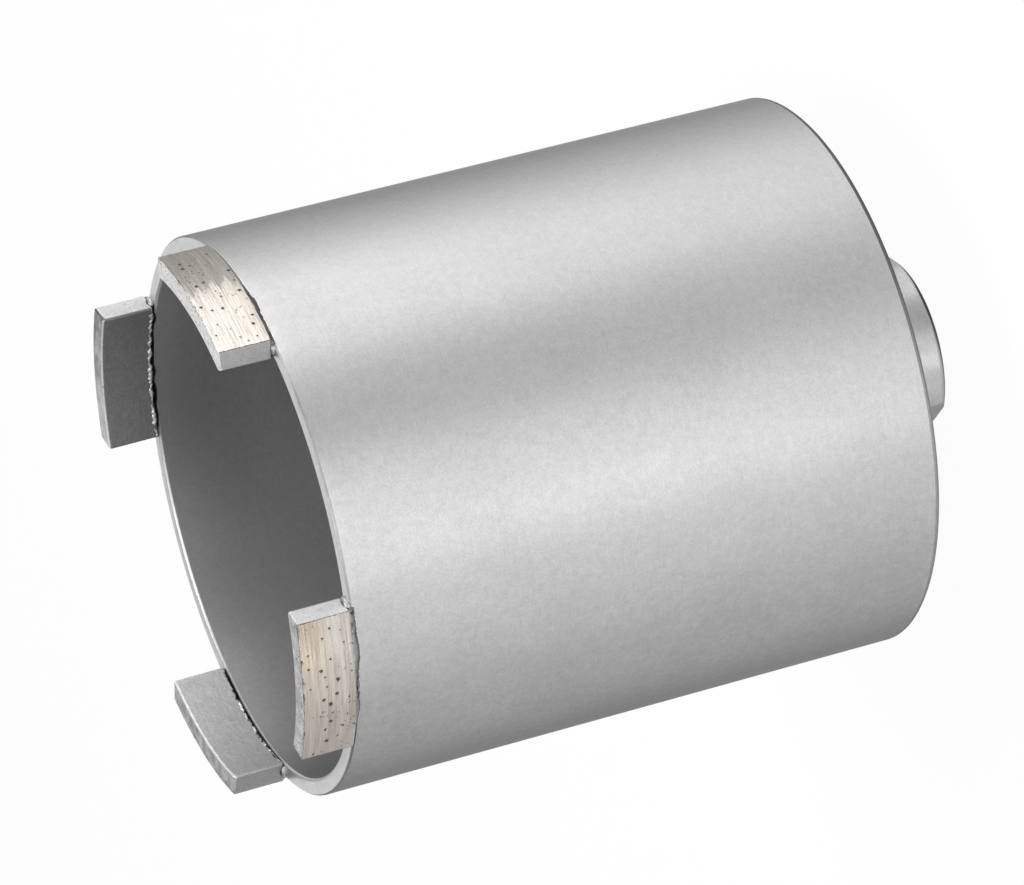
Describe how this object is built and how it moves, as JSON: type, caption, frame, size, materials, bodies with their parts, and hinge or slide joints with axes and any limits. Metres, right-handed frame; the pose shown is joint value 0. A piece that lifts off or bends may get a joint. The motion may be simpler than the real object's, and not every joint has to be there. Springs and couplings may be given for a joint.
{
  "type": "diamond core bit",
  "caption": "Dry diamond core bit: thin steel barrel with diamond segments welded to its rim and a closed back with a threaded hub.",
  "frame": {"origin": "centre of the hub's flat end face, on which the bit stands", "axes": "+Z along the axis of rotation, from the hub to the open mouth; X and Y across, with the segments near the diagonals"},
  "size_m": [0.0808, 0.0808, 0.1105],
  "materials": {
    "silver_steel": "satin silver over brushed steel",
    "silver_weld": "satin silver over rippled weld",
    "diamond_bond": "ground metal bond with diamond grit"
  },
  "bodies": {
    "root": {"barrel": "silver_steel", "back_plate": "silver_steel", "plate_weld": "silver_weld", "hub": "silver_steel", "hub_weld": "silver_weld", "segment_1": "diamond_bond", "segment_2": "diamond_bond", "segment_3": "diamond_bond", "segment_4": "diamond_bond", "segment_weld_1": "silver_weld", "segment_weld_2": "silver_weld", "segment_weld_3": "silver_weld", "segment_weld_4": "silver_weld"}
  },
  "joints": []
}
